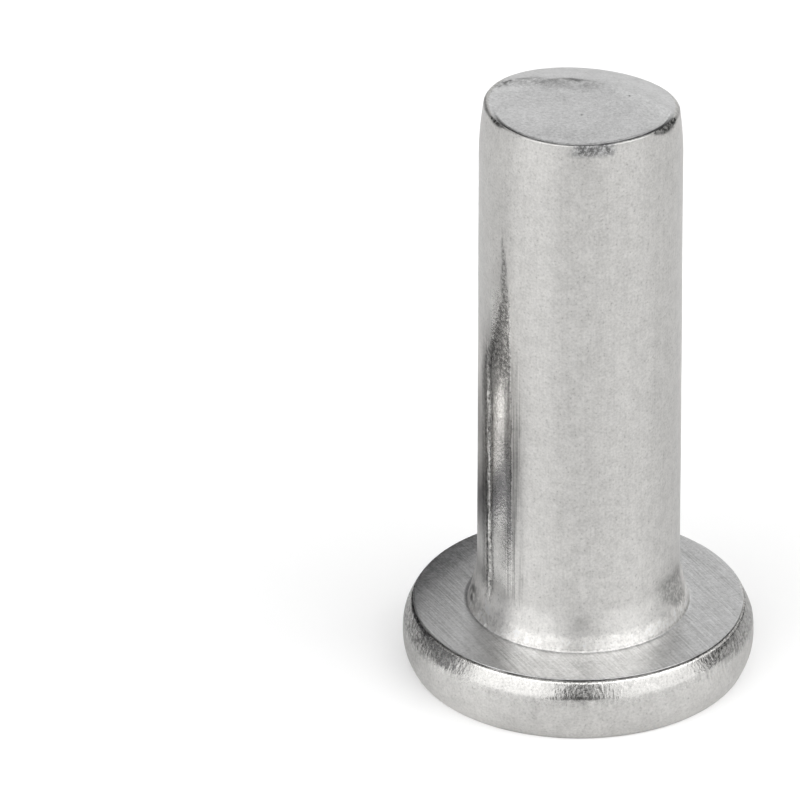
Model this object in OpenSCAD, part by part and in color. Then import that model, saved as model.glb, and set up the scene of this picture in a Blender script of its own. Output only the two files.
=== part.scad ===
// Flat head rivet, solid, cold headed from drawn aluminium wire.
// It stands on the flat face of its head: the origin is that face's centre,
// +Z runs up the shank, and -Y is the side with the crisp shear lip.

/* [Shank] */
// Shank diameter
shank_d = 5; // [3:0.1:7]
// Shank length, from the seat under the head to the sheared end
shank_l = 13.95; // [8:0.05:40]

/* [Head] */
// Head diameter at its widest
head_d = 8.66; // [8:0.02:14]
// Head thickness, from the flat face to the seat
head_t = 1.66; // [1.3:0.02:3]
// Height of the widest place above the flat face
bulge_z = 0.76; // [0.4:0.02:0.9]
// How far the flat face's edge lies inside the widest place
face_inset = 0.26; // [0.1:0.01:0.38]
// How far the seat's edge lies inside the widest place
seat_inset = 0.27; // [0.1:0.01:0.38]
// Share of the rim's height above the widest place that is the cone pressed by the die
cone_rise = 0.5; // [0.3:0.05:0.8]
// Share of seat_inset that the cone takes
cone_run = 0.86; // [0.5:0.02:0.96]

/* [Root fillet] */
// Reach of the fillet across the seat
fillet_w = 0.24; // [0.05:0.01:0.4]
// Reach of the fillet up the shank
fillet_h = 1.1; // [0.4:0.05:1.6]

/* [Sheared end] */
// How far the rolled-over part reaches in from the shank's side
roll_reach = 1.78; // [1.2:0.02:2.4]
// How far the shear pulled the edge down where it began to cut
roll_drop = 0.5; // [0.2:0.02:1.1]
// Direction of the rolled-over side, as an angle from +X
roll_angle = 67; // [0:1:359]
// Radius of the bowed crease between the broken face and the rolled-over part
crease_r = 1.71; // [1.4:0.01:3]
// How far the last stretch of the shank is drawn in at the end
draw_in = 0.13; // [0.02:0.01:0.2]
// Length of the drawn-in stretch
draw_l = 1.5; // [0.6:0.1:3]

/* [Die seams] */
// Number of seams, one for each joint of the split die
seam_count = 2; // [1:1:4]
// Direction of the first seam, as an angle from +X
seam_angle = 207; // [0:1:359]
// Width of a seam at the shank's surface
seam_w = 0.12; // [0.06:0.01:0.3]
// Height of a seam above the shank's surface
seam_h = 0.04; // [0.02:0.01:0.1]
// Length of a seam, from the seat to the end of its run-out
seam_l = 7.8; // [3:0.1:8]
// Length over which a seam runs out into the shank
seam_runout = 1.6; // [0.4:0.1:2.5]

/* [Hidden] */
$fn = 128;

shank_r = shank_d / 2;
head_r = head_d / 2;
seat_z = head_t;
end_z = seat_z + shank_l;
draw_z = end_z - draw_l;
// Height of the cone's lower edge
cone_z = head_t - (head_t - bulge_z) * cone_rise;
// Depth to which a seam's root is buried in the shank
seam_root = 0.15;
// Room round the head in the form that trims the sheared end
trim_spare = 1;

// Radius of an arc that leaves a line square on and comes in by rise over run
function arc_r(run, rise) = (run * run + rise * rise) / (2 * rise);

// Half section of one side of the rim, from its widest place to a flat inset_w further in,
// over a height h: a round shoulder with a plain core behind it
module rim_section(inset_w, h) {
    r = arc_r(h, inset_w);
    intersection() {
        translate([head_r - r, 0]) circle(r = r);
        translate([shank_r, 0]) square([head_r - shank_r, h]);
    }
    square([head_r - inset_w, h]);
}

// Half section of the head: flat face below, flat seat above, rim swelled between,
// with the cone of the die below the seat's edge
module head_section() {
    translate([0, bulge_z]) rim_section(seat_inset * (1 - cone_run), cone_z - bulge_z);
    translate([0, bulge_z]) mirror([0, 1]) rim_section(face_inset, bulge_z);
    polygon([
        [0, cone_z], [head_r - seat_inset * (1 - cone_run), cone_z],
        [head_r - seat_inset, head_t], [0, head_t]
    ]);
}

// Half section of the root fillet: one long shallow arc that leaves the shank's side smoothly
// and lands on the seat at a crisp angle
module fillet_section() {
    r = arc_r(fillet_h, fillet_w);
    difference() {
        translate([0, seat_z]) square([shank_r + fillet_w, fillet_h]);
        translate([shank_r + r, seat_z + fillet_h]) circle(r = r);
    }
}

// Half section of the shank, with its last stretch drawn in along a long arc
module shank_section() {
    r = arc_r(draw_l, draw_in);
    translate([0, seat_z / 2]) square([shank_r, draw_z - seat_z / 2]);
    intersection() {
        translate([shank_r - r, draw_z]) circle(r = r);
        translate([0, draw_z]) square([shank_r, draw_l]);
    }
}

// Everything that is round about the shank's axis: head, fillet and shank in one revolve
module round_form() {
    rotate_extrude() {
        head_section();
        fillet_section();
        shank_section();
    }
}

// The form left by the shear: a flat broken face with a bowed crease, and beyond
// the crease the metal rolled over. The flat's centre lies off the shank's axis.
module sheared_stock() {
    r = arc_r(roll_reach, roll_drop);
    centre = shank_r - roll_reach - crease_r;
    cylinder(r = head_r + trim_spare, h = seat_z + fillet_h);
    rotate(roll_angle) translate([centre, 0, 0]) rotate_extrude() {
        translate([0, seat_z]) square([crease_r + r, end_z - r - seat_z]);
        translate([0, end_z - r]) square([crease_r, r]);
        intersection() {
            translate([crease_r, end_z - r]) circle(r = r);
            translate([crease_r, end_z - r]) square([r, r]);
        }
    }
}

// One raised line that the split die leaves up the shank: a fine ridge,
// full near the head and run out to nothing at its upper end
module seam() {
    root = shank_r - seam_root;
    crest = shank_r + seam_h;
    half_w = seam_w / 2 * (seam_root + seam_h) / seam_h;
    intersection() {
        translate([0, 0, seat_z]) linear_extrude(height = seam_l)
            polygon([[root, -half_w], [crest, 0], [root, half_w]]);
        rotate([90, 0, 0]) linear_extrude(height = 4 * half_w, center = true)
            polygon([
                [root, seat_z], [crest, seat_z], [crest, seat_z + seam_l - seam_runout],
                [shank_r - seam_h, seat_z + seam_l], [root, seat_z + seam_l]
            ]);
    }
}

module rivet() {
    color([0.76, 0.76, 0.75]) {
        intersection() {
            union() {
                round_form();
                for (k = [0 : seam_count - 1])
                    rotate(seam_angle + k * 360 / seam_count) seam();
            }
            sheared_stock();
        }
    }
}

rivet();
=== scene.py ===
# %% [markdown]
# A flat head rivet in satin aluminium, standing on the flat face of its head.
# The solid model gives the size and the place of everything. This script gives the rivet
# its surface: the fine ridge of the die seam, the broken and rolled-over end, the lip round
# the head, and a dull, slightly grained aluminium. The first cell loads the solid model and
# keeps its box, because what is made here has to stay inside it.

# %% Load the solid model
import bpy
import math
import numpy as np
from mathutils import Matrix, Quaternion, Vector, noise


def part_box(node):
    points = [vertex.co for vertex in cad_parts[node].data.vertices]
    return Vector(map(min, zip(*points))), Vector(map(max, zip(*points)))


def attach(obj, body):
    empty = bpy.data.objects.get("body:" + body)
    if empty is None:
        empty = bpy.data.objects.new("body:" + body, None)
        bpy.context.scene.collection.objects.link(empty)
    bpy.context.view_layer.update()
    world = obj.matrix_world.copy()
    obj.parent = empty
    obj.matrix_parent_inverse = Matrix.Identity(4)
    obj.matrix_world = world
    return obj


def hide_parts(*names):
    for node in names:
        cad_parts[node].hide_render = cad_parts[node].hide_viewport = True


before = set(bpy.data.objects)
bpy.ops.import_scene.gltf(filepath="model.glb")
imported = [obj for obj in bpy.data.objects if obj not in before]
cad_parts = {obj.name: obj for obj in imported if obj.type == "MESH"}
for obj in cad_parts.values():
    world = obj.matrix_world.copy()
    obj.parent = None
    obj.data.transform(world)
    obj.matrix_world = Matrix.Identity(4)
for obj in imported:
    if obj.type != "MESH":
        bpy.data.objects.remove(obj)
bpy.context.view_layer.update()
MM = 0.001
print("nodes in the frame:", len(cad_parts))

# %% [markdown]
# The camera comes first, so that every later step can be looked at from the right place.
# Small hardware is photographed from far off with a long lens, which keeps the two sides of
# the shank parallel. The lens is worked out from the distance and from how large one
# millimetre has to look. The camera aims beside the rivet, so the rivet stands right of
# the middle, as it does in the picture.

# %% Camera
PICTURE_PX = 800
PX_PER_MM = 40.8
CAMERA_MM = 700
ELEVATION = 29.2
ROLL = 0.14
AIM_MM = (-4.40, 0.0, 7.22)
SENSOR_WIDTH = 36
NEAREST_M, FARTHEST_M = 0.05, 5


def make_camera():
    data = bpy.data.cameras.new("camera")
    cam = bpy.data.objects.new("camera", data)
    bpy.context.scene.collection.objects.link(cam)
    e = math.radians(ELEVATION)
    back = Vector((0, -math.cos(e), math.sin(e)))
    cam.location = (Vector(AIM_MM) + back * CAMERA_MM) * MM
    cam.rotation_mode = "QUATERNION"
    upright = (-back).to_track_quat("-Z", "Y")
    cam.rotation_quaternion = upright @ Quaternion((0, 0, 1), math.radians(ROLL))
    data.sensor_width = SENSOR_WIDTH
    data.lens = SENSOR_WIDTH * PX_PER_MM * CAMERA_MM / PICTURE_PX
    data.clip_start, data.clip_end = NEAREST_M, FARTHEST_M
    bpy.context.scene.camera = cam
    print("lens", round(data.lens), "mm")


make_camera()

# %% [markdown]
# The rivet is one skin. It could be a lathe curve with modifiers, but the broken end and the
# seam aren't round, so the skin is a grid instead: one direction goes round the axis and
# the other runs from the middle of the flat face, over the rim, up the shank and in to the
# middle of the sheared end. These are its sizes, in millimetres, the same as the solid's.

# %% Sizes in millimetres
box_low, box_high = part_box("rivet")
head_r = (box_high[0] - box_low[0]) / 2 / MM
end_z = box_high[2] / MM
shank_r = 2.5
head_t = 1.66
bulge_z = 0.76
face_inset, seat_inset = 0.26, 0.27
fillet_w, fillet_h = 0.24, 1.1
draw_l, draw_in = 1.5, 0.13
roll_reach, roll_drop, roll_angle = 1.78, 0.5, math.radians(67)
crease_r = 1.71
seam_angle, seam_l, seam_runout = math.radians(207), 7.8, 1.6
seam_w, seam_h = 0.12, 0.04


def arc_r(run, rise):
    """Radius of an arc that leaves a line square on and comes in by rise over run."""
    return (run * run + rise * rise) / (2 * rise)


seat_r = head_r - seat_inset
roll_r = arc_r(roll_reach, roll_drop)
roll_off = shank_r - roll_reach - crease_r
roll_x, roll_y = roll_off * math.cos(roll_angle), roll_off * math.sin(roll_angle)
print("head radius", round(head_r, 3), "end at", round(end_z, 3), "roll radius", round(roll_r, 3))

# %% [markdown]
# The angles round the axis are closer together near the two seams, because a seam is only
# a tenth of a millimetre wide. A density curve gives each degree its share of the angles:
# one everywhere, and six more at a seam, falling off over four degrees.

# %% Angles round the axis
AROUND = 400
SEAMS = (seam_angle, seam_angle - math.pi)
TRIAL_ANGLES = 7201
EXTRA_DENSITY, DENSE_WITHIN = 6, math.radians(4)


def turn_from(angle, centre):
    """Signed turn from centre to angle, in radians, between -pi and pi."""
    return (angle - centre + math.pi) % (2 * math.pi) - math.pi


def spaced_angles(count):
    fine = np.linspace(0, 2 * math.pi, TRIAL_ANGLES)
    density = np.ones_like(fine)
    for s in SEAMS:
        density += EXTRA_DENSITY * np.exp(-(turn_from(fine, s) / DENSE_WITHIN) ** 2)
    total = np.concatenate([[0], np.cumsum((density[1:] + density[:-1]) / 2)])
    return np.interp(np.arange(count) / count * total[-1], total, fine)


theta = spaced_angles(AROUND)
print(AROUND, "angles, closest", round(math.degrees(np.diff(theta).min()), 2), "degrees apart")

# %% [markdown]
# Real metal is never quite even, so a few small helpers come next. One gives smooth lumps of
# a chosen size, always the same ones for the same seed. The others say where something is:
# a fade goes from 0 to 1 between two places, a span is 1 in the middle and 0 outside, and a
# hump is a soft bell.

# %% Lumps, fades, spans and humps
def lumps(x, y, z, size, seed=0.0):
    """Smooth noise between about -1 and 1, with lumps of the given size in mm."""
    pts = np.stack(np.broadcast_arrays(x, y, z), axis=-1)
    got = [noise.noise(Vector(p)) for p in pts.reshape(-1, 3) / size + seed]
    return np.array(got).reshape(pts.shape[:-1])


def fade(value, start, end):
    """0 at start and 1 at end, with a smooth way between."""
    t = np.clip((value - start) / (end - start), 0, 1)
    return t * t * (3 - 2 * t)


def span(value, start, full, still, end):
    """0 up to start, 1 from full to still, and 0 again from end on."""
    return fade(value, start, full) * fade(value, end, still)


def hump(value, middle, width):
    """1 at the middle, falling off like a bell of this width."""
    return np.exp(-(((value - middle) / width) ** 2))


print("a fade half way gives", float(fade(0.5, 0.0, 1.0)))

# %% [markdown]
# The height of the sheared end over any point is the solid's own rule: flat at first, and
# then rolled over along an arc. Where the wall meets the end is found by trying: a guess at
# the height gives a radius, the radius gives a better height, and so on.

# %% Height of the sheared end
TRIES = 30
ROLL_LIMIT = 0.999


def past_roll(x, y):
    """How far a point lies beyond the line where the roll begins; negative on the flat."""
    return np.hypot(x - roll_x, y - roll_y) - crease_r


def end_height(x, y):
    past = np.clip(past_roll(x, y), 0, roll_r * ROLL_LIMIT)
    return end_z - (roll_r - np.sqrt(roll_r**2 - past**2))


def shank_radius(z):
    up = np.clip(z - (end_z - draw_l), 0, None)
    r = arc_r(draw_l, draw_in)
    return shank_r - (r - np.sqrt(r * r - up * up))


def wall_top(angles):
    """Where the wall of the shank meets the sheared end, found by stepping towards it."""
    z = np.full_like(angles, end_z)
    for _ in range(TRIES):
        r = shank_radius(z)
        z = end_height(r * np.cos(angles), r * np.sin(angles))
    return z


top_z = wall_top(theta)
print("wall top from", round(top_z.min(), 2), "to", round(top_z.max(), 2))

# %% [markdown]
# The broken face isn't a perfect plane. It ends in a bowed, ragged crease with a notch in it,
# where it meets the rolled metal with a tiny step. On its left side it is a shallow hollow
# that rises to the crease. A Displace modifier with a painted texture could make all this,
# but a rule can say exactly where the crease runs. It is all cut into the solid's end, and
# never stands up.

# %% Broken face and its crease
break_x, break_y, break_r = -1.37, -3.60, 4.86
COARSE_RAG, FINE_RAG = (0.035, 0.45, 9.0), (0.03, 0.14, 11.0)
NOTCH_DEPTH, NOTCH_X, NOTCH_WIDTH = 0.11, -0.75, 0.22
HOLLOW_DEPTH, HOLLOW_X, HOLLOW_Y, HOLLOW_FROM_CREASE = 0.030, (1.1, -0.4), (-1.6, 0.2), (0.0, 0.55)
STEP_DEPTH, STEP_LEVEL, STEP_UNEVEN = 0.022, 0.7, (0.9, 0.3, 1.7)
STEP_X, STEP_EDGE, STEP_NEAR_CREASE = (0.9, -0.1), (-0.02, 0.04), (0.4, 0.05)
COARSE_ROUGH, FINE_ROUGH = (0.0005, 0.4, 3.1), (0.0006, 0.12, 5.1)
LEAST_CUT, BREAK_EDGE = 0.003, (-0.03, 0.02)


def inside_circle(x, y):
    """How far a point lies inside the circle that the crease follows."""
    return break_r - np.hypot(x - break_x, y - break_y)


def lumpy(x, y, height, size, seed):
    """Lumps in one level plane, as high as given."""
    return height * lumps(x, y, 0.0, size, seed)


def inside_break(x, y):
    """How far a point lies inside the ragged crease itself; beyond it the value is negative."""
    ragged = lumpy(x, y, *COARSE_RAG) + lumpy(x, y, *FINE_RAG)
    return inside_circle(x, y) + ragged - NOTCH_DEPTH * hump(x, NOTCH_X, NOTCH_WIDTH)


def broken_face(x, y):
    """How far the broken face lies below the solid's own end."""
    inside = inside_break(x, y)
    hollow = HOLLOW_DEPTH * fade(x, *HOLLOW_X) * fade(y, *HOLLOW_Y)
    hollow = hollow * fade(inside_circle(x, y), *HOLLOW_FROM_CREASE)
    uneven = lumpy(x, y, *STEP_UNEVEN) * fade(inside, *STEP_NEAR_CREASE)
    step = STEP_DEPTH * (STEP_LEVEL + uneven) * fade(inside, *STEP_EDGE) * fade(x, *STEP_X)
    rough = lumpy(x, y, *COARSE_ROUGH) + lumpy(x, y, *FINE_ROUGH)
    return np.clip(hollow + step + rough + LEAST_CUT, 0, None) * fade(inside, *BREAK_EDGE)


print("crease passes the axis at", round(float(break_r - math.hypot(break_x, break_y)), 2), "mm")

# %% [markdown]
# In the solid, the upper rim is a cone over an arc, and the root fillet is an arc. A real
# press rounds the places where such forms meet, so here both are curves that are given by
# how far they lean at each height. Adding up the lean gives the curve, and dividing by the
# sum makes it end exactly where the solid's own form ends.

# %% Softened curves of the rim and the fillet
CURVE_POINTS = 401
ARC_LEAN, CONE_LEAN, CONE_BEGINS = 0.5, 0.5, (0.38, 0.66)
LONG_LEAN, FILLET_ENDS = 0.24, (1.0, 0.8)
FOOT_LEAN, FOOT_SHARE = 0.5, 0.14
SHARE = np.linspace(0, 1, CURVE_POINTS)
RIM_LEAN = ARC_LEAN * SHARE + CONE_LEAN * fade(SHARE, *CONE_BEGINS)
FILLET_LEAN = LONG_LEAN * fade(SHARE, *FILLET_ENDS)
FILLET_LEAN = FILLET_LEAN + FOOT_LEAN * np.clip(1 - SHARE / FOOT_SHARE, 0, 1) ** 2


def run(lean, share):
    """How much of its whole reach a curve has covered at this share of its height."""
    return float(np.interp(share, SHARE, np.cumsum(lean) / lean.sum()))


print("half way up, the rim has covered", round(run(RIM_LEAN, 0.5), 2), "of its reach")
print("half way up, the fillet has covered", round(run(FILLET_LEAN, 0.5), 2), "of its reach")

# %% [markdown]
# Now the grid, row by row. Each row holds a radius and a height for every angle, and the
# name of the zone that it belongs to, which the material will ask for later. The rows of the
# head run out over the flat face, round its edge, and up over the widest place of the rim.

# %% Rows of the head
FACE_ROWS, LOWER_RIM_ROWS, UPPER_RIM_ROWS = 6, 16, 22
FACE_MARGIN, FACE_CROWDING = 0.05, 0.7
EDGE_IN, EDGE_UP = 0.012, 0.001
BELOW_LIP = 0.92
rows, zones = [], []


def row(r, z, zone):
    rows.append((r + 0 * theta, z + 0 * theta))
    zones.append(zone)


def head_rows():
    face_r = head_r - face_inset
    for k in range(1, FACE_ROWS + 1):
        row((face_r - FACE_MARGIN) * (k / FACE_ROWS) ** FACE_CROWDING, 0, "face")
    row(face_r - EDGE_IN, EDGE_UP, "face")
    low = arc_r(bulge_z, face_inset)
    tilt = math.asin(bulge_z / low)
    for k in range(1, LOWER_RIM_ROWS + 1):
        a = -tilt * (1 - k / LOWER_RIM_ROWS)
        row(head_r - low * (1 - math.cos(a)), bulge_z + low * math.sin(a), "rim")
    for k in range(1, UPPER_RIM_ROWS + 1):
        up = BELOW_LIP * k / UPPER_RIM_ROWS
        row(head_r - seat_inset * run(RIM_LEAN, up), bulge_z + (head_t - bulge_z) * up, "rim")


head_rows()
print(len(rows), "rows for the face and the rim")

# %% [markdown]
# The press left a thin lip round the seat, with a fine groove under it. The groove is painted nearly
# black, a painted shade, and so draws the dark line round the head. Its depth wanders, and here and
# there it all but goes. The table gives each row's place against the sharp corner that the solid has
# there.

# %% Rows of the lip and the seat
SEAT_ROWS = 13
LIP_ROUND = 0.035
LIP_DEPTH, LIP_COARSE, LIP_FINE = 0.022, (0.016, 0.6, 5.0), (0.01, 0.12, 8.0)
LIP_REACH = (0.006, 0.16, 2.0)
LIP_ROWS = (
    # zone, beyond the seat's edge, share of the depth, share of the reach, below the seat
    ("rim", 0.012, 0.3, 0.0, 0.054),
    ("lip", 0.002, 1.0, 0.0, 0.044),
    ("lip", -0.002, 1.0, 0.0, 0.030),
    ("lip", 0.000, 0.0, 1.0, 0.022),
    ("seat", -0.001, 0.0, 1.0, 0.014),
    ("seat", -0.012, 0.0, 1.0, 0.001),
)
lip_x, lip_y = seat_r * np.cos(theta), seat_r * np.sin(theta)
lip_depth = LIP_DEPTH + lumpy(lip_x, lip_y, *LIP_COARSE) + lumpy(lip_x, lip_y, *LIP_FINE)
lip_reach = lumpy(lip_x, lip_y, *LIP_REACH)


def lip_rows():
    for name, beyond, sunk, reach, below in LIP_ROWS:
        row(seat_r + beyond - sunk * lip_depth + reach * lip_reach, head_t - below, name)
    inner, outer = shank_r + fillet_w, seat_r - LIP_ROUND
    for k in range(SEAT_ROWS + 1):
        row(outer + (inner - outer) * k / SEAT_ROWS, head_t, "seat")


lip_rows()
print("lip groove", round(float(lip_depth.min()), 3), "to", round(float(lip_depth.max()), 3), "mm deep")

# %% [markdown]
# The fillet's rows are closer together at its foot, where it leans most. Those of the shank
# are even, and above them the wall follows the drawn-in stretch up to the sheared end. The
# corner there is crisp where the shear broke through, at the front, and rounder elsewhere.

# %% Rows of the fillet and the shank
FILLET_ROWS, SHANK_ROWS, DRAWN_ROWS = 22, 70, 25
FILLET_CROWDING, DRAWN_CROWDING = 1.5, 0.85
DRAWN_ROWS_L = 2.2
FRONT_TURN, FRONT_FADE = math.radians(272), (0.1, 0.55)
ROUND_CORNER, CRISP_CORNER = 0.11, 0.04
front = fade(np.cos(theta - FRONT_TURN), *FRONT_FADE)
corner = ROUND_CORNER - (ROUND_CORNER - CRISP_CORNER) * front


def shank_rows():
    for k in range(1, FILLET_ROWS + 1):
        up = (k / FILLET_ROWS) ** FILLET_CROWDING
        row(shank_r + fillet_w * (1 - run(FILLET_LEAN, up)), head_t + fillet_h * up, "shank")
    start, stop = head_t + fillet_h, end_z - DRAWN_ROWS_L
    for k in range(1, SHANK_ROWS + 1):
        row(shank_r, start + (stop - start) * k / SHANK_ROWS, "shank")
    for k in range(1, DRAWN_ROWS + 1):
        z = stop + (top_z - corner - stop) * (k / DRAWN_ROWS) ** DRAWN_CROWDING
        row(shank_radius(z), z, "shank")


shank_rows()
print(len(rows), "rows up to the corner, which is", round(float(corner.min()), 3), "mm at its crispest")

# %% [markdown]
# A curve with its control point on the sharp corner rounds it by any amount. Just inside the crisp part
# runs a hair-fine groove, a twelfth of a millimetre wide, where the metal folded as it broke. Its two
# rows have a zone of their own, so that the material can paint the groove dark, a painted shade.

# %% Rows of the corner and the sheared end
CORNER_STEPS, END_ROWS = 6, 48
GROOVE_DEPTH, GROOVE_LUMPS, GROOVE_R = 0.028, (0.5, 0.3, 6.0), 2.4
GROOVE_FROM, GROOVE_TO, GROOVE_OUT = 0.007, 0.080, 0.095
FACE_BLEND = 0.15
groove_x, groove_y = np.cos(theta) * GROOVE_R, np.sin(theta) * GROOVE_R
groove = GROOVE_DEPTH * front * (1 + lumpy(groove_x, groove_y, *GROOVE_LUMPS))


def end_point(inset, drop, zone):
    r = shank_radius(top_z) - inset
    x, y = r * np.cos(theta), r * np.sin(theta)
    row(r, end_height(x, y) - broken_face(x, y) * fade(inset, 0.0, FACE_BLEND) - drop, zone)


def corner_rows():
    low_r, low_z = shank_radius(top_z - corner), top_z - corner
    edge_r = shank_radius(top_z)
    in_r = edge_r - corner
    in_z = end_height(in_r * np.cos(theta), in_r * np.sin(theta))
    for k in range(1, CORNER_STEPS):
        t = k / CORNER_STEPS
        r = low_r * (1 - t) ** 2 + edge_r * 2 * t * (1 - t) + in_r * t * t
        z = low_z * (1 - t) ** 2 + top_z * 2 * t * (1 - t) + in_z * t * t
        row(r, z, "edge")
    end_point(corner, 0.0, "edge")
    end_point(corner + GROOVE_FROM, groove, "cut")
    end_point(corner + GROOVE_TO, groove, "cut")
    end_point(corner + GROOVE_OUT, 0.0, "end")


def end_rows():
    last = shank_radius(top_z) - corner - GROOVE_OUT
    for k in range(1, END_ROWS):
        end_point(shank_radius(top_z) - last * (1 - k / END_ROWS), 0.0, "end")


corner_rows()
end_rows()
print(len(rows), "rows,", 2 * AROUND * len(rows), "triangles")

# %% [markdown]
# The rows become three arrays, which are easier to press and dent. First come the two die
# seams. Where the halves of the die met, they left a ridge with ragged sides that wanders a
# little. A separate strip laid on the shank would show a joint, so the ridge is raised in
# the skin itself, and a faint trough runs along each side of it.

# %% Raise the die seams
R = np.array([p[0] for p in rows])
Z = np.array([p[1] for p in rows])
zone = np.array(zones)
on_shank = (zone == "shank")[:, None] * np.ones_like(R)

LOW_DRIFT, LOW_DRIFT_Z = math.radians(2.2), (6.0, 1.6)
HIGH_DRIFT, HIGH_DRIFT_Z = math.radians(-1.2), (6.0, 9.4)
COARSE_WOBBLE, FINE_WOBBLE = (0.045, 0.6), (0.04, 0.3)
TROUGH_DEPTH, TROUGH_SIDE, TROUGH_WIDTH = 0.010, 0.11, 0.05
RAGGED_LEVEL, RAGGED_LEAST, COARSE_RAGS, FINE_RAGS = 0.75, 0.25, (0.55, 0.3), (0.45, 0.13)
RAGS_AT, RAGS_CROWD = 2.0, 3
CREST_FULL = 1.15
SEAM_BEGINS = (head_t + 0.5, head_t + 1.1)


def seam_side(z, start):
    """Sideways distance in mm from the seam's crest, which drifts and wobbles."""
    drift = LOW_DRIFT * fade(z, *LOW_DRIFT_Z) + HIGH_DRIFT * fade(z, *HIGH_DRIFT_Z)
    coarse = COARSE_WOBBLE[0] * lumps(0.0, start, z, COARSE_WOBBLE[1])
    fine_wobble = FINE_WOBBLE[0] * lumps(start, 0.0, z, FINE_WOBBLE[1])
    return turn_from(theta, start + drift) * shank_r - coarse - fine_wobble


def seam_lift(start):
    side = seam_side(Z, start)
    ragged = RAGGED_LEVEL + COARSE_RAGS[0] * lumps(start, RAGS_AT, Z, COARSE_RAGS[1])
    ragged = ragged + FINE_RAGS[0] * lumps(start, side * RAGS_CROWD, Z, FINE_RAGS[1])
    top = head_t + seam_l
    lasts = fade(Z, top, top - seam_runout) * fade(Z, *SEAM_BEGINS)
    crest = seam_h * np.clip(CREST_FULL - np.abs(side) / (seam_w / 2), 0, 1)
    crest = crest * np.clip(ragged, RAGGED_LEAST, 1)
    trough = TROUGH_DEPTH * hump(np.abs(side), TROUGH_SIDE, TROUGH_WIDTH)
    return (crest - trough) * lasts * on_shank


seam_up = sum(seam_lift(s) for s in SEAMS)
R = R + seam_up
print("the seams stand", round(float(seam_up.max()), 3), "mm high")

# %% [markdown]
# Small grains of metal stuck at the foot of the seam when the head was pressed. Each could be
# a tiny ball, but a soft swelling of the skin looks grown together with it, as it should.

# %% Grains at the foot of the seam
GRAINS = (
    # angle from +X, height, size, how far it stands out
    (196, 2.05, 0.06, 0.035),
    (203, 1.78, 0.05, 0.03),
    (212, 1.70, 0.04, 0.03),
)


def swell(angle, z, size, out):
    side = turn_from(theta, math.radians(angle)) * shank_r
    return out * hump(side, 0.0, size) * hump(Z, z, size) * on_shank


for grain_numbers in GRAINS:
    R = R + swell(*grain_numbers)
print(len(GRAINS), "grains")

# %% [markdown]
# The press also left the rim and the shank very slightly lumpy. The lumps only ever go
# inwards, by a few hundredths of a millimetre, so the rivet stays inside its box. They are
# felt more than seen: they make the reflections waver.

# %% Slight lumps all over
RIM_LUMPS, RIM_LUMP_SIZE, RIM_LUMP_SEED = 0.012, 0.9, 1.0
SHANK_LUMPS, SHANK_LUMP_SIZE, SHANK_LUMP_SEED = 0.006, 1.3, 4.0
LUMPY_RIM_TOP, LUMPY_RIM_FADE, LUMPY_SHANK_Z = 1.55, (0.0, 0.25), (2.2, 3.0)
X, Y = R * np.cos(theta), R * np.sin(theta)
on_rim = (zone == "rim")[:, None] * fade(np.minimum(Z, LUMPY_RIM_TOP - Z), *LUMPY_RIM_FADE)
R = R - on_rim * RIM_LUMPS * (1 + lumps(X, Y, Z, RIM_LUMP_SIZE, RIM_LUMP_SEED))
long_lumps = lumps(X, Y, Z / 2, SHANK_LUMP_SIZE, SHANK_LUMP_SEED)
R = R - on_shank * fade(Z, *LUMPY_SHANK_Z) * SHANK_LUMPS * (1 + long_lumps)
X, Y = R * np.cos(theta), R * np.sin(theta)
print("lumps go in by up to", RIM_LUMPS * 2, "mm on the rim")

# %% [markdown]
# The shear bent two small flats at the ends of the crisp edge. A flat could be cut with a boolean, but
# here it is simpler: every point that stands proud of a plane is moved straight back onto it. What has
# been pressed is remembered, because the material paints it darker, a painted dark reflection of the
# flats.

# %% Press two flats at the edge
FLATS = (
    # turn from the front, rise, depth
    (66, 36, 0.075),
    (-63, 34, 0.035),
)
# Pressed points are painted darker in the material: a painted dark reflection of the flats.
PRESSED_FROM = 0.02
pressed = np.zeros_like(R)


def press_flat(turn, rise, depth):
    """Press a flat as deep as depth, facing this turn from the front and this rise."""
    global X, Y, Z, pressed
    t, h = math.radians(turn), math.radians(rise)
    n = (math.sin(t) * math.cos(h), -math.cos(t) * math.cos(h), math.sin(h))
    along = X * n[0] + Y * n[1] + Z * n[2]
    proud = np.clip(along - (along.max() - depth), 0, None)
    X, Y, Z = X - proud * n[0], Y - proud * n[1], Z - proud * n[2]
    pressed = pressed + fade(proud, 0.0, PRESSED_FROM)
    print("flat presses", int((proud > 0).sum()), "points, by up to", round(float(proud.max()), 3))


for flat_numbers in FLATS:
    press_flat(*flat_numbers)

# %% [markdown]
# Now the arrays become a mesh. Neighbouring rows are joined by four-sided faces, and a point
# in the middle closes each end with a fan. The points are turned from millimetres into
# metres here. The skin then takes the solid's place in the frame.

# %% Skin from the rows
def build_skin(name):
    count = len(rows)
    verts = np.stack([X, Y, Z], axis=-1).reshape(-1, 3)
    low = [0, 0, 0]
    high = [0, 0, float(end_height(0.0, 0.0) - broken_face(0.0, 0.0))]
    verts = np.vstack([verts, low, high]) * MM
    faces = []
    for j in range(count - 1):
        a, b = j * AROUND, (j + 1) * AROUND
        for i in range(AROUND):
            n = (i + 1) % AROUND
            faces.append((a + i, a + n, b + n, b + i))
    bottom, top = count * AROUND, count * AROUND + 1
    last = (count - 1) * AROUND
    for i in range(AROUND):
        n = (i + 1) % AROUND
        faces.append((i, bottom, n))
        faces.append((last + i, last + n, top))
    mesh = bpy.data.meshes.new(name)
    mesh.from_pydata(verts.tolist(), [], faces)
    mesh.polygons.foreach_set("use_smooth", np.ones(len(faces), dtype=bool))
    mesh.update()
    obj = bpy.data.objects.new(name, mesh)
    bpy.context.scene.collection.objects.link(obj)
    return obj


rivet = build_skin("rivet_skin")
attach(rivet, "root")
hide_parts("rivet")
print("skin:", len(rivet.data.vertices), "points")

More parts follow.
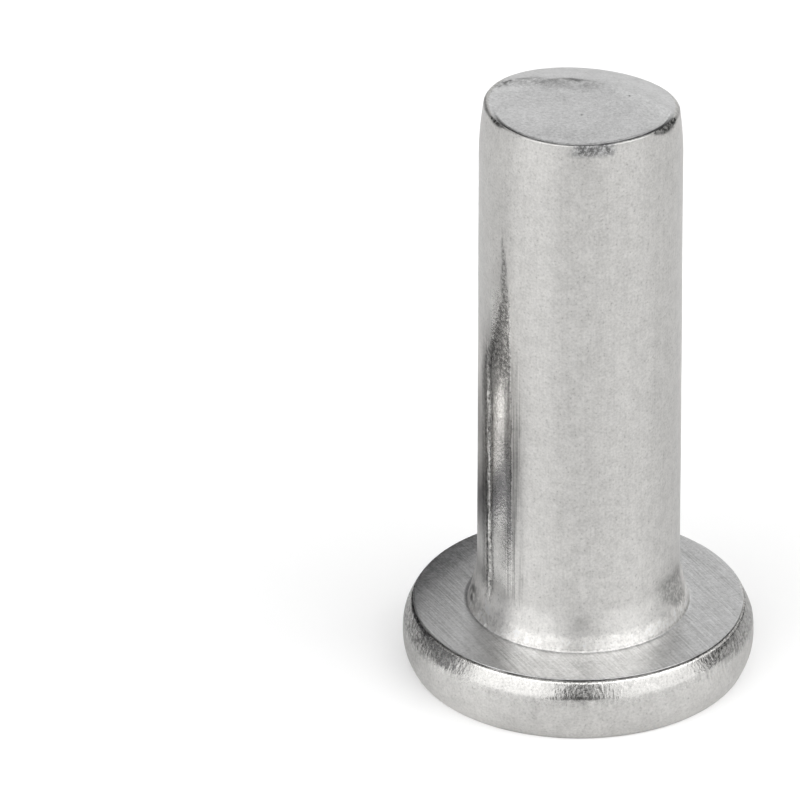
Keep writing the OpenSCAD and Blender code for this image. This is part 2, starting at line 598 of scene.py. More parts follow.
# %% [markdown]
# The same aluminium looks different in each zone: drawn on the shank, brushed on the seat,
# burnished on the upper rim and torn on the end. Masks tell the material where it is. A mask
# is a number stored at each point of the mesh, mostly from 0 to 1. Painting it by hand would
# work too, but a rule can be changed later. All masks are built from the few places below.

# %% Places on the skin
SEAM_EDGE_RAG, SEAM_EDGE_LUMP, SEAM_EDGE_SEED = 0.02, 0.15, 12.0
FRONT = math.radians(270)
whole = np.ones_like(R)


def on(*names):
    """1 on the rows of these zones and 0 on the others."""
    return np.isin(zone, names)[:, None] * whole


on_end = on("end", "cut")
inside = inside_break(X, Y)
to_right = np.degrees(turn_from(theta, FRONT))
from_seam = seam_side(Z, seam_angle)
from_seam = from_seam + SEAM_EDGE_RAG * lumps(X, Y, Z, SEAM_EDGE_LUMP, SEAM_EDGE_SEED)
print("the broken face covers", int(100 * (on_end * (inside > 0)).sum() / on_end.sum()), "% of the end")

# %% [markdown]
# Right of the first seam runs a strip that the die burnished: smoother than the rest, and painted
# brighter in its middle, a painted reflection. Fine score lines run up both its sides. Left of the seam
# the metal is painted darker, a painted dark reflection, and above the strip this speckled painted dark
# reflection ends in a long narrow spike. The spike's two sides are given as a few points, and a line is
# drawn through them.

# %% Masks beside the seam
BURNISHED_X, BURNISHED_TOP, BURNISHED_FOOT = (0.10, 0.16, 0.88, 0.96), (11.6, 10.2), (2.6, 3.4)
STRIP_REFLECTION_X, STRIP_REFLECTION_Z = (0.05, 0.15, 0.75, 0.92), (4.3, 5.0, 6.2, 7.0)
SCORED_LEFT_X, SCORED_RIGHT_X = (-0.45, -0.3, 0.15, 0.3), (0.6, 0.75, 1.1, 1.3)
SCORED_Z = (2.1, 3.2, 8.8, 9.8)
BESIDE_SEAM_SHADE_X, BESIDE_SEAM_SHADE_Z = (-0.5, -0.35, -0.08, -0.03), (2.3, 2.8, 8.1, 8.9)
SPIKE_LEFT_Z, SPIKE_LEFT_X = (8.5, 8.8, 9.8, 10.9, 12.9), (-0.45, -0.4, 0.3, 0.54, 0.58)
SPIKE_RIGHT_Z, SPIKE_RIGHT_X = (9.8, 10.9, 12.0, 12.9), (0.93, 0.88, 0.76, 0.62)
SPIKE_Z, SPIKE_FOOT_X = (7.9, 9.2, 12.4, 13.2), (-0.5, -0.1)
SPIKE_OUT, SPIKE_IN, SPIKE_SOFT, SPIKE_HIDES = 0.02, 0.06, 0.05, 0.7
SEAM_SHOWS_TOP, SEAM_SHOWS_FOOT = (head_t + seam_l + 0.6, head_t + seam_l - 0.8), (2.1, 2.5)
OPPOSITE_SEAM = 0.5

burnished = span(from_seam, *BURNISHED_X) * fade(Z, *BURNISHED_TOP) * fade(Z, *BURNISHED_FOOT)
burnished = burnished * on_shank
# The middle of the strip is painted brighter later: a painted reflection.
strip_reflection = span(from_seam, *STRIP_REFLECTION_X) * span(Z, *STRIP_REFLECTION_Z)
spike_left = np.interp(Z, SPIKE_LEFT_Z, SPIKE_LEFT_X)
spike_right = np.interp(Z, SPIKE_RIGHT_Z, SPIKE_RIGHT_X)
# The spike is a speckled painted dark reflection.
spike_reflection = fade(from_seam, spike_left - SPIKE_OUT, spike_left + SPIKE_IN)
spike_reflection = spike_reflection * fade(from_seam, spike_right, spike_right - SPIKE_SOFT)
spike_reflection = spike_reflection * span(Z, *SPIKE_Z) * fade(from_seam, *SPIKE_FOOT_X) * on_shank
scored_at = span(from_seam, *SCORED_LEFT_X) + span(from_seam, *SCORED_RIGHT_X)
scored_at = scored_at * (1 - SPIKE_HIDES * spike_reflection) * span(Z, *SCORED_Z) * on_shank
# Left of the seam the metal is painted darker: a painted dark reflection.
beside_seam_shade = span(from_seam, *BESIDE_SEAM_SHADE_X) * span(Z, *BESIDE_SEAM_SHADE_Z) * on_shank
near, far = (seam_side(Z, s) for s in SEAMS)
first_is_near = np.abs(near) < np.abs(far)
nearest_side = np.where(first_is_near, near, far) * on_shank
seam_lasts = fade(Z, *SEAM_SHOWS_TOP) * fade(Z, *SEAM_SHOWS_FOOT) * on_shank
seam_lasts = seam_lasts * np.where(first_is_near, 1.0, OPPOSITE_SEAM)
print("the spike is", round(float(Z[spike_reflection > 0.01].max() - Z[spike_reflection > 0.3].min()), 1), "mm long")

# %% [markdown]
# The foot of the shank is painted a little brighter than the rest, most of all where it meets the seat:
# painted light, a painted reflection. There the metal was forced into the die's corner and looks
# beaded. Its very edge is painted darker again, a painted shadow. Both sides are rougher and painted
# lighter, as is a corner at the left. A darker wedge at the right has a sloping lower edge, a small
# grey spot sits at the front, and a patchy stain at the left.

# %% Masks at the foot of the shank
FOOT_PAINTED_LIGHT_AND_SHADOW = (
    # strength, height where it begins, height where it is full
    (0.06, 5.5, 3.0),
    (0.08, 2.9, 2.2),
    (0.36, 2.12, 1.93),
    (-0.45, 1.77, 1.69),
)
FLANK_TURN, FLANK_Z = (45, 72), (2.9, 2.3)
FLANK_PAINTED_LIGHT, FLANK_TO_RIGHT = 0.25, -0.1
GREY_SPOT, GREY_TURN, GREY_Z = -0.16, (1, 6), (2.38, 0.2)
CORNER_TURN, CORNER_Z = (-75, -65, -42, -30), (2.75, 2.3)
WEDGE_TURN, WEDGE_TOP, WEDGE_FOOT = (45, 60, 77, 86), (3.02, 2.8), (-0.08, 0.16)
WEDGE_Z, WEDGE_SLOPE, WEDGE_MIDDLE = 2.42, -0.0194, 47
STAIN_TURN, STAIN_HALF, STAIN_Z = math.radians(188), math.radians(9), (1.75, 1.9, 2.1, 2.4)
PATCH_SIZE, PATCH_SEED, PATCH_FADE = 0.16, 7.0, (-0.4, 0.3)
STRIP_PAINTED_REFLECTION, CORNER_PAINTED_LIGHT = 0.48, 0.33
BEADED_Z = (2.2, 1.95)
DARKEST, LIGHTEST = -0.3, 0.6

flank = fade(np.abs(to_right), *FLANK_TURN) * fade(Z, *FLANK_Z) * on_shank
# The lighter mask holds painted light: the foot, its sides and a left corner painted brighter as
# painted reflection, the foot's lowest edge painted shadow, and the strip's painted reflection. The
# grey spot is a mark.
lighter = sum(strength * fade(Z, begins, full) for strength, begins, full in FOOT_PAINTED_LIGHT_AND_SHADOW)
lighter = lighter + flank * (FLANK_PAINTED_LIGHT + FLANK_TO_RIGHT * np.sign(to_right))
lighter = lighter + GREY_SPOT * hump(to_right, *GREY_TURN) * hump(Z, *GREY_Z)
lighter = lighter + CORNER_PAINTED_LIGHT * span(to_right, *CORNER_TURN) * fade(Z, *CORNER_Z)
lighter = np.clip(lighter + STRIP_PAINTED_REFLECTION * strip_reflection, DARKEST, LIGHTEST) * on_shank
beaded = fade(Z, *BEADED_Z) * on_shank
wedge_z = WEDGE_Z + WEDGE_SLOPE * (to_right - WEDGE_MIDDLE)
foot_right = span(to_right, *WEDGE_TURN) * fade(Z, *WEDGE_TOP) * on_shank
foot_right = foot_right * fade(Z, wedge_z + WEDGE_FOOT[0], wedge_z + WEDGE_FOOT[1])
foot_left = span(Z, *STAIN_Z) * hump(turn_from(theta, STAIN_TURN), 0.0, STAIN_HALF) * on_shank
foot_left = foot_left * fade(lumps(X, Y, Z, PATCH_SIZE, PATCH_SEED), *PATCH_FADE)
print("the foot is up to", round(100 * float(lighter.max())), "% lighter than the shank")

# %% [markdown]
# The end carries the marks of the shear, and painted shade. A dark hair of painted shade runs along the
# middle of the crease, and more painted shade lies below it, where the face dips to the crease. The
# fold's groove round the crisp edge is painted nearly black at its two ends, and the back of the
# rounded edge is painted darker, a painted dark reflection. Under that edge the wall is torn. Three
# pits, four nicks at the left and a field of fine dots complete it. A spot is a round dot that fades
# out, and a field is a wide one.

# %% Masks on the sheared end
CREASE_STRENGTH, CREASE_INSIDE, CREASE_X = 0.6, (0.02, 0.04), (-0.85, -0.6, 0.3, 0.7)
CREASE_LUMP, CREASE_SEED, CREASE_FADE = 0.2, 15.0, (-0.5, 0.2)
CREASE_SHADE_INSIDE, CREASE_SHADE_EDGE, CREASE_SHADE_X = (0.6, 0.1), (-0.02, 0.06), (-0.45, -0.95)
STREAK_INSIDE, STREAK_CREASE, STREAK_X = (0.3, 0.02), (-0.02, 0.03), (-0.8, -0.55, 0.1, 0.9)
STREAK_STRENGTH = 1.2
UNDER_EDGE, TORN_TURN, TORN_HALF = (end_z - 0.34, end_z - 0.2), math.radians(277), (0.28, 0.15)
FOLD_LEVEL, FOLD_LUMPS, FOLD_LUMP, FOLD_SEED, FOLD_LEAST = 0.85, 0.5, 0.22, 16.0, 0.3
FOLD_ENDS = ((219, 7), (325, 8))
PITS = ((0.0, -0.71, 0.035), (1.17, 0.25, 0.035), (-0.45, -0.6, 0.02))
NICKS = ((-2.02, 0.90, 0.06), (-1.86, 1.05, 0.09), (-1.72, 1.18, 0.06), (-2.2, 0.6, 0.05))
DOTS_X, DOTS_Y = (-0.6, 0.75), (-1.68, 0.24)


def spots(places):
    """Small round spots on the end, each given by x, y and size."""
    return sum(on_end * hump(X, x, size) * hump(Y, y, size) for x, y, size in places)


# A dark hair of painted shade along the crease, and painted shade below it where the face dips.
crease_shade_line = CREASE_STRENGTH * on_end * hump(inside, *CREASE_INSIDE) * span(X, *CREASE_X)
crease_shade_line = crease_shade_line * fade(lumps(X, Y, Z, CREASE_LUMP, CREASE_SEED), *CREASE_FADE)
crease_shade = fade(inside, *CREASE_SHADE_INSIDE) * fade(inside, *CREASE_SHADE_EDGE) * fade(X, *CREASE_SHADE_X)
streak = fade(inside, *STREAK_INSIDE) * fade(inside, *STREAK_CREASE) * span(X, *STREAK_X)
crease_shade = (crease_shade + STREAK_STRENGTH * streak) * on_end
under_edge = on("shank", "edge") * fade(Z, *UNDER_EDGE)
torn_wall = under_edge * fade(np.abs(turn_from(theta, TORN_TURN)), *TORN_HALF)
fold_ends = sum(hump(np.degrees(theta), middle, width) for middle, width in FOLD_ENDS)
fold_lumps = FOLD_LUMPS * lumps(X, Y, Z, FOLD_LUMP, FOLD_SEED)
# The fold's groove is painted nearly black, most of all at its two ends: painted shade.
fold_shade = on("cut") * front * np.clip(FOLD_LEVEL + fold_lumps + fold_ends, FOLD_LEAST, 1)
dots = on_end * hump(X, *DOTS_X) * hump(Y, *DOTS_Y)
# The back of the rounded edge is painted darker: a painted dark reflection.
back_edge_shade = on("edge") * (1 - front)
print("marks on the end:", len(PITS), "pits and", len(NICKS), "nicks")

# %% [markdown]
# The rim was pressed against a polished die, and wrinkled where the metal last flowed in: in the middle
# of the front and towards both sides. There, and at the left, it is painted darker: a painted dark
# reflection. The seat is darker in a patch at its front, and painted darker at the back left, a painted
# dark reflection.

# %% Masks on the rim and the seat
SIDES_TURN, SIDES_Z = (math.degrees(0.9), math.degrees(1.15)), (1.0, 1.2)
LEFT_TURN, LEFT_FADE = math.radians(205), (0.25, -0.05)
DARK_FRONT_Z, DARK_FRONT_TURN = (1.24, 0.06), (1, 8)
MIDDLE_Z, MIDDLE_TURN = (1.16, 1.24), (-0.5, 6.5)
WRINKLED_LEAST, WRINKLED_MORE = 0.2, 0.8
WRINKLED_FRONT, WRINKLED_SIDES = (4, 13), (36, 50)
SEAT_FRONT_TURN = (2, 4)
BACK_X, BACK_Y, BACK_SLOPE, BACK_FADE, BACK_X_FADE = -3.9, 0.2, 1.49, (-0.2, 0.25), (-1.7, -2.4)

# The rim's sides, left, front and middle are painted darker: a painted dark reflection.
rim_sides_shade = on("rim") * fade(np.abs(to_right), *SIDES_TURN) * fade(Z, *SIDES_Z)
rim_left_reflection = on("rim") * fade(turn_from(theta, LEFT_TURN), *LEFT_FADE)
rim_front_shade = on("rim") * hump(Z, *DARK_FRONT_Z) * hump(to_right, *DARK_FRONT_TURN)
rim_middle_shade = on("rim") * fade(Z, *MIDDLE_Z) * hump(to_right, *MIDDLE_TURN)
wrinkled_at = hump(to_right, *WRINKLED_FRONT) + fade(np.abs(to_right), *WRINKLED_SIDES)
wrinkled_at = on("rim") * (WRINKLED_LEAST + WRINKLED_MORE * wrinkled_at)
seat_front = on("seat") * hump(to_right, *SEAT_FRONT_TURN)
# The back left of the seat is painted darker: a painted dark reflection.
behind = (Y - BACK_Y) - BACK_SLOPE * (X - BACK_X)
seat_back_reflection = on("seat") * fade(behind, *BACK_FADE) * fade(X, *BACK_X_FADE)
print("the rim is wrinkled by", WRINKLED_LEAST, "to", round(float(wrinkled_at.max()), 2))

# %% [markdown]
# Darker places are all of one kind: dark specks with bright metal between them. Most are painted shade
# or painted dark reflection, and the torn wall, pits, nicks and dots are wear. So they are added up
# into one mask, each with its own strength, and the material handles them together.

# %% Dull places together
SHADE_AND_WEAR_PLACES = (
    # place, strength
    (crease_shade, 0.26),
    (pressed, 0.75),
    (rim_sides_shade, 0.45),
    (rim_left_reflection, 0.2),
    (torn_wall, 0.6),
    (spots(PITS), 1.0),
    (rim_front_shade, 0.45),
    (back_edge_shade, 0.25),
    (beside_seam_shade, 0.4),
    (foot_right, 0.42),
    (seat_front, 0.12),
    (seat_back_reflection, 0.25),
    (rim_middle_shade, 0.3),
    (spots(NICKS), 0.7),
    (dots, 0.08),
    (spike_reflection, 0.58),
)
# This mask is mostly painted shade and painted dark reflection, with some wear.
painted_shade_and_wear = np.clip(sum(strength * place for place, strength in SHADE_AND_WEAR_PLACES), 0, 1)
print("dull places:", len(SHADE_AND_WEAR_PLACES))

# %% [markdown]
# Each mask is stored on the mesh under a name, and the shader can read it by that name. The
# two centre points, which close the skin, come last and get their own two numbers.

# %% Store the masks
def store_mask(name, values, middle=(0.0, 0.0)):
    """Store one number per point; middle holds those of the two centre points."""
    attribute = rivet.data.attributes.new(name, "FLOAT", "POINT")
    flat = np.concatenate([np.asarray(values, dtype=float).reshape(-1), middle])
    attribute.data.foreach_set("value", flat.astype(np.float32))
    print("mask", name, "covers", round(100 * float((flat > 0.5).mean()), 1), "% of the points")


CREASE_EDGE = 0.03
FULL_GROOVE, LEAST_GROOVE = 0.03, 0.2
broken = np.clip(on_end * fade(inside, -CREASE_EDGE, CREASE_EDGE) + torn_wall, 0, 1)
store_mask("shank", on_shank)
store_mask("seat", on("seat"))
store_mask("end", broken, (0.0, 1.0))
store_mask("rolled", on_end * fade(inside, CREASE_EDGE, -CREASE_EDGE))
store_mask("rim", on("rim"))
# The groove mask paints the groove under the lip and the fold's groove nearly black: painted shade in
# these recesses.
store_mask("groove", on("lip") * np.clip(lip_depth / FULL_GROOVE, LEAST_GROOVE, 1) + fold_shade)
store_mask("stain_and_crease_shade", np.clip(foot_left + crease_shade_line, 0, 1))
store_mask("lighter", lighter)
store_mask("flank", flank)
store_mask("beaded", beaded)
store_mask("wrinkles", wrinkled_at)
store_mask("painted_shade_and_wear", painted_shade_and_wear)
store_mask("burnished", burnished)
store_mask("scored", scored_at)
store_mask("seam_lasts", seam_lasts)
store_mask("seam_side", nearest_side)

# %% [markdown]
# A material is built from many small nodes. A few short helpers keep the later cells easy to
# read: each adds one node, joins it up and hands back its result. With them, a rule such as
# "this times that, plus a ramp" is one line, where a row of nodes would have to be wired.

# %% Helpers for shader nodes
class Wiring:
    """Adds nodes to one material; a value may be a number, a colour or another node's result."""

    def __init__(self, tree):
        self.tree = tree

    def join(self, value, socket):
        if isinstance(value, bpy.types.NodeSocket):
            self.tree.links.new(value, socket)
        elif value is not None:
            socket.default_value = value

    def add(self, kind, inputs=None, **settings):
        """Add a node of this kind, with its inputs by name or number, and its settings."""
        node = self.tree.nodes.new("ShaderNode" + kind)
        for name, choice in settings.items():
            setattr(node, name, choice)
        for name, value in (inputs or {}).items():
            self.join(value, node.inputs[name])
        return node

    def sum_of(self, kind, *values):
        return self.add("Math", dict(enumerate(values)), operation=kind).outputs[0]

    def times(self, *values):
        total = values[0]
        for value in values[1:]:
            total = self.sum_of("MULTIPLY", total, value)
        return total

    def plus(self, *values):
        total = values[0]
        for value in values[1:]:
            total = self.sum_of("ADD", total, value)
        return total

    def ramp(self, value, start, end, low=0.0, high=1.0):
        """Smoothly from low at start to high at end."""
        ends = {"From Min": start, "From Max": end, "To Min": low, "To Max": high}
        node = self.add("MapRange", ends, interpolation_type="SMOOTHSTEP")
        self.join(value, node.inputs["Value"])
        return node.outputs["Result"]

    def mask(self, name):
        return self.add("Attribute", attribute_name=name).outputs["Fac"]

    def grain(self, vector, scale, turn, detail, roughness, swirl):
        """Noise from about 0 to 1, with lumps as large as the scale."""
        way = {"Rotation": (0, 0, turn), "Scale": scale, "Vector": vector}
        stretched = self.add("Mapping", way, vector_type="TEXTURE").outputs["Vector"]
        look = {"Scale": 1.0, "Detail": detail, "Roughness": roughness, "Distortion": swirl}
        return self.add("TexNoise", {**look, "Vector": stretched}).outputs["Fac"]

    def scaled(self, colour, factor):
        """A colour made lighter or darker by a factor."""
        return self.add("VectorMath", {0: colour, "Scale": factor}, operation="SCALE").outputs["Vector"]

    def blend(self, factor, a, b, kind="FLOAT"):
        """From a to b by the factor; the kind is FLOAT for numbers and RGBA for colours."""
        node = self.add("Mix", {0: factor}, data_type=kind)
        wanted = "VALUE" if kind == "FLOAT" else "RGBA"
        ends = [s for s in node.inputs if s.type == wanted and s.name in ("A", "B")]
        for value, socket in zip((a, b), ends):
            self.join(value, socket)
        return [s for s in node.outputs if s.type == wanted][0]


aluminium = bpy.data.materials.new("satin_aluminium")
aluminium.use_nodes = True
wire = Wiring(aluminium.node_tree)
print("the material starts with", len(aluminium.node_tree.nodes), "nodes")

# %% [markdown]
# Every texture is placed by the point's own position, so it stays put when the camera moves.
# The sizes are in millimetres, as wide, deep and high as one lump of the noise. A stretched
# noise makes lines: drawn and scored lines run up the shank, brushed lines cross the seat,
# and wrinkles run up and down the burnished rim. Torn metal is a fine noise with much detail.
# A noise rarely leaves the middle of its scale, so a ramp from 0.3 to 0.7 uses nearly all.

# %% Textures
BRUSHED_TURN = math.radians(118)
MOST_NOISE, ALL_NOISE = (0.3, 0.7), (0.2, 0.8)
where = wire.add("TexCoord").outputs["Object"]


def texture(size_mm, detail, roughness, swirl=0.0, turn=0.0):
    """Noise with lumps of this size; one number is a round lump, three are a long one."""
    size = size_mm if isinstance(size_mm, tuple) else (size_mm,) * 3
    in_metres = tuple(s * MM for s in size)
    return wire.grain(where, in_metres, turn, detail, roughness, swirl)


fine = texture(0.06, detail=2.0, roughness=0.6)
cloudy = texture(1.1, detail=3.0, roughness=0.6)
medium = texture(0.3, detail=2.0, roughness=0.5)
drawn = texture((0.05, 0.05, 2.2), detail=2.0, roughness=0.6)
brushed = texture((1.4, 0.05, 1.0), detail=2.0, roughness=0.6, turn=BRUSHED_TURN)
wrinkled = texture((0.08, 0.08, 0.35), detail=2.0, roughness=0.6, swirl=0.3)
torn = texture(0.09, detail=4.0, roughness=0.7)
jagged = texture(0.1, detail=3.0, roughness=0.7)
scored = texture((0.04, 0.04, 3.0), detail=2.0, roughness=0.6)
print("textures:", len(aluminium.node_tree.nodes), "nodes so far")

# %% [markdown]
# Roughness decides how blurred the reflections are. The upper rim was pressed against a
# polished die, and so was the strip beside the seam, so they are the shiniest. The upper
# rim fades into the duller lower rim at the widest place. A little of the cloudy and of the
# fine noise is added at the end, because no real surface is equally smooth everywhere.

# %% Roughness
UPPER_RIM_M = (0.00085, 0.00115)
BASE_ROUGHNESS = 0.43
CLOUDY_CHANGE, FINE_CHANGE = 0.025, 0.04
height = wire.add("SeparateXYZ", {0: where}).outputs["Z"]
upper_rim = wire.times(wire.mask("rim"), wire.ramp(height, *UPPER_RIM_M))
ROUGHNESS_OF = (
    (wire.mask("shank"), 0.36),
    (upper_rim, 0.25),
    (wire.mask("seat"), 0.37),
    (wire.mask("end"), 0.38),
    (wire.mask("rolled"), 0.38),
    (wire.mask("burnished"), 0.17),
    (wire.mask("flank"), 0.55),
)
rough = BASE_ROUGHNESS
for zone_mask, level in ROUGHNESS_OF:
    rough = wire.blend(zone_mask, rough, level)
rough = wire.plus(rough, wire.ramp(cloudy, *MOST_NOISE, -CLOUDY_CHANGE, CLOUDY_CHANGE))
rough = wire.plus(rough, wire.ramp(fine, *MOST_NOISE, -FINE_CHANGE, FINE_CHANGE))
print("roughness from", min(r for _, r in ROUGHNESS_OF), "to", max(r for _, r in ROUGHNESS_OF))

# %% [markdown]
# The bare metal comes first: a pale, slightly warm grey with soft darker clouds, and a
# neutral one on the seat and on the end, which are fresher. Everything that follows makes it
# lighter or darker. That is added up in one number, the shade, where 1 leaves it as it is.

# %% Colour of the bare metal
PALE, CLOUDED, FRESH = (0.606, 0.598, 0.582, 1), (0.565, 0.558, 0.545, 1), (0.58, 0.58, 0.58, 1)
ROLLED_SHADE, SEAT_SHADE = 0.91, -0.09
FINE_SPECKLE, MEDIUM_SPECKLE = 0.13, 0.06
CLOUDS_BETWEEN, MOST_CLOUDED, LEAST_CLOUDED = (0.35, 0.7), 0.55, 0.1
clouds = wire.ramp(cloudy, *CLOUDS_BETWEEN, MOST_CLOUDED, LEAST_CLOUDED)
colour = wire.blend(clouds, PALE, CLOUDED, "RGBA")
sheared = wire.plus(wire.mask("end"), wire.mask("rolled"))
colour = wire.blend(wire.sum_of("MAXIMUM", wire.mask("seat"), sheared), colour, FRESH, "RGBA")
shade = wire.blend(wire.mask("rolled"), 1.0, ROLLED_SHADE)
shade = wire.plus(shade, wire.times(wire.mask("seat"), SEAT_SHADE))
shade = wire.plus(shade, wire.ramp(fine, *ALL_NOISE, -FINE_SPECKLE, FINE_SPECKLE))
shade = wire.plus(shade, wire.ramp(medium, *ALL_NOISE, -MEDIUM_SPECKLE, MEDIUM_SPECKLE))
print("bare metal from", CLOUDED[0], "to", PALE[0])

# %% [markdown]
# Each zone then gets the lines that its making left on it. The table says which noise shows
# in which zone, and how strongly it lightens and darkens.

# %% Lines of each zone
LINES_BETWEEN = (0.25, 0.75)
LINES = (
    # where, texture, strength
    (wire.mask("shank"), drawn, 0.03),
    (wire.mask("burnished"), torn, 0.14),
    (wire.mask("seat"), brushed, 0.12),
    (wire.mask("seat"), torn, 0.08),
    (wire.times(upper_rim, wire.mask("wrinkles")), wrinkled, 0.2),
    (wire.mask("end"), torn, 0.16),
    (wire.mask("beaded"), torn, 0.25),
)
for zone_mask, lines, strength in LINES:
    light_and_dark = wire.ramp(lines, *LINES_BETWEEN, -strength, strength)
    shade = wire.plus(shade, wire.times(zone_mask, light_and_dark))
print(len(LINES), "kinds of lines")

# %% [markdown]
# The seam is a torn crest, painted brighter with dark specks, a painted highlight, between two furrows
# painted darker, a painted shade. The mesh holds each point's distance from the crest in millimetres,
# so the shader can draw edges that are finer than the mesh. A jagged noise shifts that distance a
# little, which frays both edges. The score lines beside the seam are mostly dark, so their ramp goes
# down much further than up.

# %% Crest, furrows and score lines of the seam
FRAY = 0.06
CREST_EDGE, FURROW_INNER, FURROW_OUTER = (0.07, 0.045), (0.06, 0.085), (0.17, 0.11)
CREST_DARK, CREST_BRIGHT, FURROW_SHADE = -0.28, 0.3, -0.5
CREST_BETWEEN = (0.4, 0.62)
SCORED_DARK, SCORED_BRIGHT = -0.46, 0.16
frayed_side = wire.plus(wire.mask("seam_side"), wire.ramp(jagged, *MOST_NOISE, -FRAY, FRAY))
seam_off = wire.sum_of("ABSOLUTE", frayed_side)
crest = wire.times(wire.mask("seam_lasts"), wire.ramp(seam_off, *CREST_EDGE))
furrow = wire.times(wire.mask("seam_lasts"), wire.ramp(seam_off, *FURROW_INNER))
furrow = wire.times(furrow, wire.ramp(seam_off, *FURROW_OUTER))
# The crest's painted highlight, speckled by the torn noise.
torn_crest = wire.ramp(torn, *CREST_BETWEEN, CREST_DARK, CREST_BRIGHT)
shade = wire.plus(shade, wire.times(crest, torn_crest))
# The furrows' painted shade.
shade = wire.plus(shade, wire.times(furrow, FURROW_SHADE))
score_lines = wire.ramp(scored, *MOST_NOISE, SCORED_DARK, SCORED_BRIGHT)
shade = wire.plus(shade, wire.times(wire.mask("scored"), score_lines))
print("the crest is", 2 * CREST_EDGE[1], "mm wide before it frays")

# %% [markdown]
# Painted light and the darker places come last, because they act on all that is below them. A place of
# painted light is a little lighter where the medium noise is. A darker place, painted shade or wear,
# multiplies the shade by specks of the torn noise, down to none at all, and where it is wear it looks
# like metal that was rubbed or pulled. Pin holes, the grime with the painted shade of the crease, and
# the groove under the lip, painted nearly black as painted shade, are laid over it as colours.

# %% Light and dull places, grime and the groove
GRIME_AND_SHADE, GROOVE_SHADE = (0.27, 0.265, 0.26, 1), (0.07, 0.07, 0.07, 1)
LIGHT_BETWEEN, LIGHT_LEAST, LIGHT_MOST = (0.3, 0.6), 0.8, 1.15
DARKENING_BETWEEN, DARKENING_MOST, DARKENING_LEAST = (0.42, 0.6), -1.1, -0.3
PIN_HOLES_BETWEEN, PIN_HOLES = (0.36, 0.25), 0.5
lightening = wire.ramp(medium, *LIGHT_BETWEEN, LIGHT_LEAST, LIGHT_MOST)
# Painted light from the lighter mask.
shade = wire.plus(shade, wire.times(wire.mask("lighter"), lightening))
darkening = wire.times(wire.mask("painted_shade_and_wear"), wire.ramp(torn, *DARKENING_BETWEEN, DARKENING_MOST, DARKENING_LEAST))
shade = wire.times(shade, wire.plus(1.0, darkening))
colour = wire.scaled(colour, shade)
colour = wire.blend(wire.ramp(fine, *PIN_HOLES_BETWEEN, 0.0, PIN_HOLES), colour, GRIME_AND_SHADE, "RGBA")
# The grime mask holds the stain at the foot and the painted shade of the crease.
colour = wire.blend(wire.mask("stain_and_crease_shade"), colour, GRIME_AND_SHADE, "RGBA")
# The groove mask paints the recesses nearly black: painted shade.
colour = wire.blend(wire.mask("groove"), colour, GROOVE_SHADE, "RGBA")
print("colour:", len(aluminium.node_tree.nodes), "nodes so far")

# %% [markdown]
# The bump gives each texture its height in thousandths of a millimetre, and adds them up. A
# bump of one or two of those is enough to break up a reflection in metal. Real dents this
# fine would take millions of points, and the eye could not tell them from a bump.

# %% Bump
MICROMETRE = 0.000001
FINE_RELIEF, MEDIUM_RELIEF, MEDIUM_RELIEF_ON_END = 4.0, 4.0, 1.5
RELIEF = (
    # texture, where, height; a second place multiplies the first
    (medium, (wire.blend(wire.mask("end"), MEDIUM_RELIEF, MEDIUM_RELIEF_ON_END),), 1.0),
    (drawn, (wire.mask("shank"),), 2.0),
    (brushed, (wire.mask("seat"),), 8.0),
    (wrinkled, (upper_rim, wire.mask("wrinkles")), 15.0),
    (torn, (wire.mask("burnished"),), 2.5),
    (torn, (crest,), 12.0),
    (torn, (wire.mask("end"),), 2.2),
    (torn, (wire.mask("painted_shade_and_wear"),), 5.0),
    (torn, (wire.mask("beaded"),), 10.0),
)
relief = wire.times(fine, FINE_RELIEF)
for lines, places, tall in RELIEF:
    relief = wire.plus(relief, wire.times(lines, *places, tall))


def finish_aluminium():
    bump = wire.add("Bump", {"Distance": MICROMETRE, "Height": relief})
    shader = aluminium.node_tree.nodes["Principled BSDF"]
    shader.inputs["Metallic"].default_value = 1.0
    wire.join(colour, shader.inputs["Base Color"])
    wire.join(rough, shader.inputs["Roughness"])
    wire.join(bump.outputs["Normal"], shader.inputs["Normal"])
    rivet.data.materials.append(aluminium)
    print("satin aluminium:", len(aluminium.node_tree.nodes), "nodes")


finish_aluminium()

# %% [markdown]
# Bright metal shows little but its surroundings, so the surroundings are built with care.
# Two helpers say which way something lies from the rivet: a turn in degrees, and whether it is within a
# band.

# %% Helpers for the stage
def turn_of(wiring, x, y):
    """Turn from the camera's side round to a direction, in degrees, positive to the right."""
    return wiring.times(wiring.sum_of("ARCTAN2", x, wiring.times(y, -1.0)), 180 / math.pi)


def within(wiring, turn, middle, half, edge):
    """1 within half a width of the middle, fading to 0 over the edge at both sides."""
    off = wiring.sum_of("ABSOLUTE", wiring.sum_of("WRAP", wiring.plus(turn, -middle), 180.0, -180.0))
    return wiring.ramp(off, half + edge, half - edge)


def stage_object(name, points, faces, material):
    mesh = bpy.data.meshes.new(name)
    mesh.from_pydata(points, [], faces)
    mesh.polygons.foreach_set("use_smooth", np.ones(len(faces), dtype=bool))
    mesh.materials.append(material)
    obj = bpy.data.objects.new(name, mesh)
    bpy.context.scene.collection.objects.link(obj)
    print("stage:", name, "with", len(faces), "faces")
    return obj


# %% [markdown]
# The floor is white and keeps the rivet's shadow. Light Path tells its shader which kind of
# ray is asking. The camera sees the floor a touch brighter than the light makes it, so that
# it is a clean white. Rays off the metal see two brighter strips on it and a dimmer far
# side, as soft boxes close to a glossy table would make them, and those show as faint
# upright bands on the shank. Seen from below the floor is clear, so that the rivet's flat
# face can be looked at as well.

